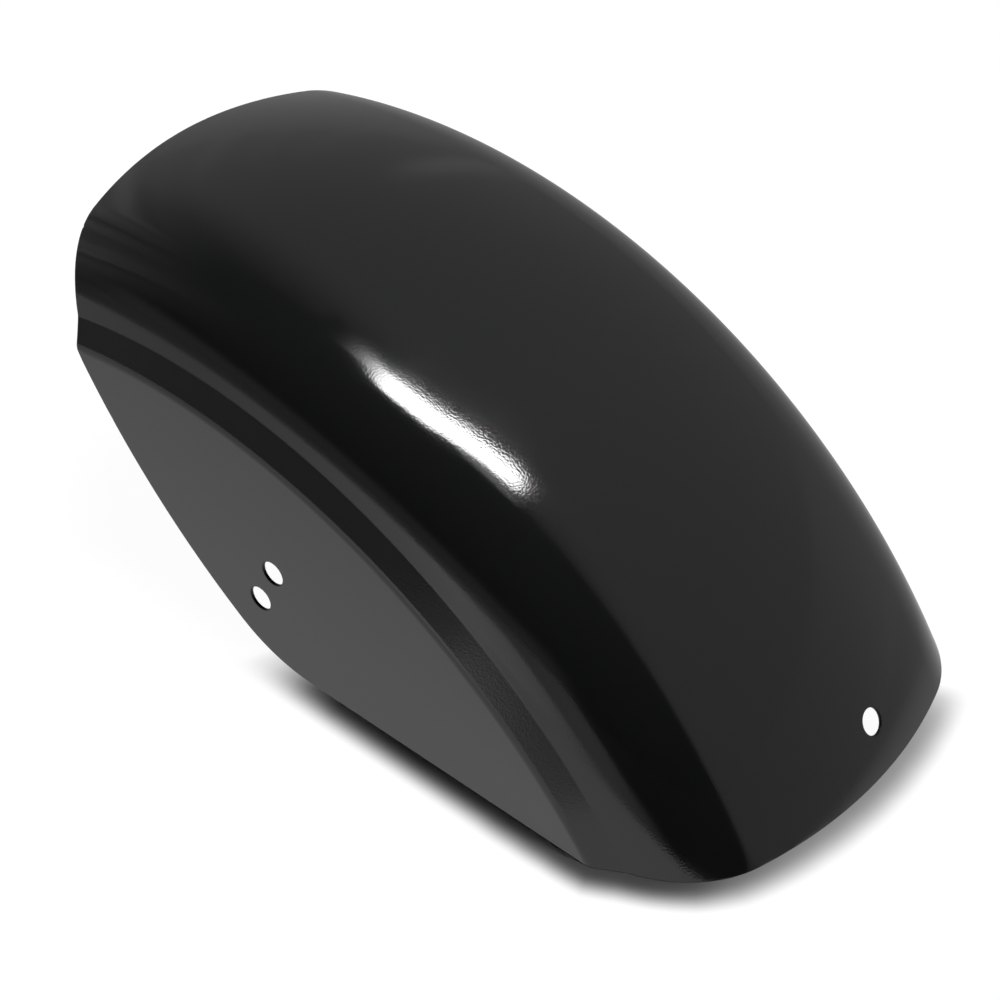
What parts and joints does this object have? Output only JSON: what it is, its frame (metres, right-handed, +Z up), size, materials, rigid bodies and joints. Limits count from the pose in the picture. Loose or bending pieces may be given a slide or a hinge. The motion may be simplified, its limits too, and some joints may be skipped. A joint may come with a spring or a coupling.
{
  "type": "motorcycle rear fender",
  "caption": "Short rear fender of pressed sheet steel with an arched crown, round shoulders, creased flanks and flat side walls.",
  "frame": {"origin": "middle of the overall length and width, at the level of the straight bottom cut", "axes": "+X to the rear of the fender, +Z up, +Y to the right-hand side wall"},
  "size_m": [0.3744, 0.21, 0.1605],
  "materials": {
    "paint": "gloss black"
  },
  "bodies": {
    "root": {"fender_shell": "paint"}
  },
  "joints": []
}
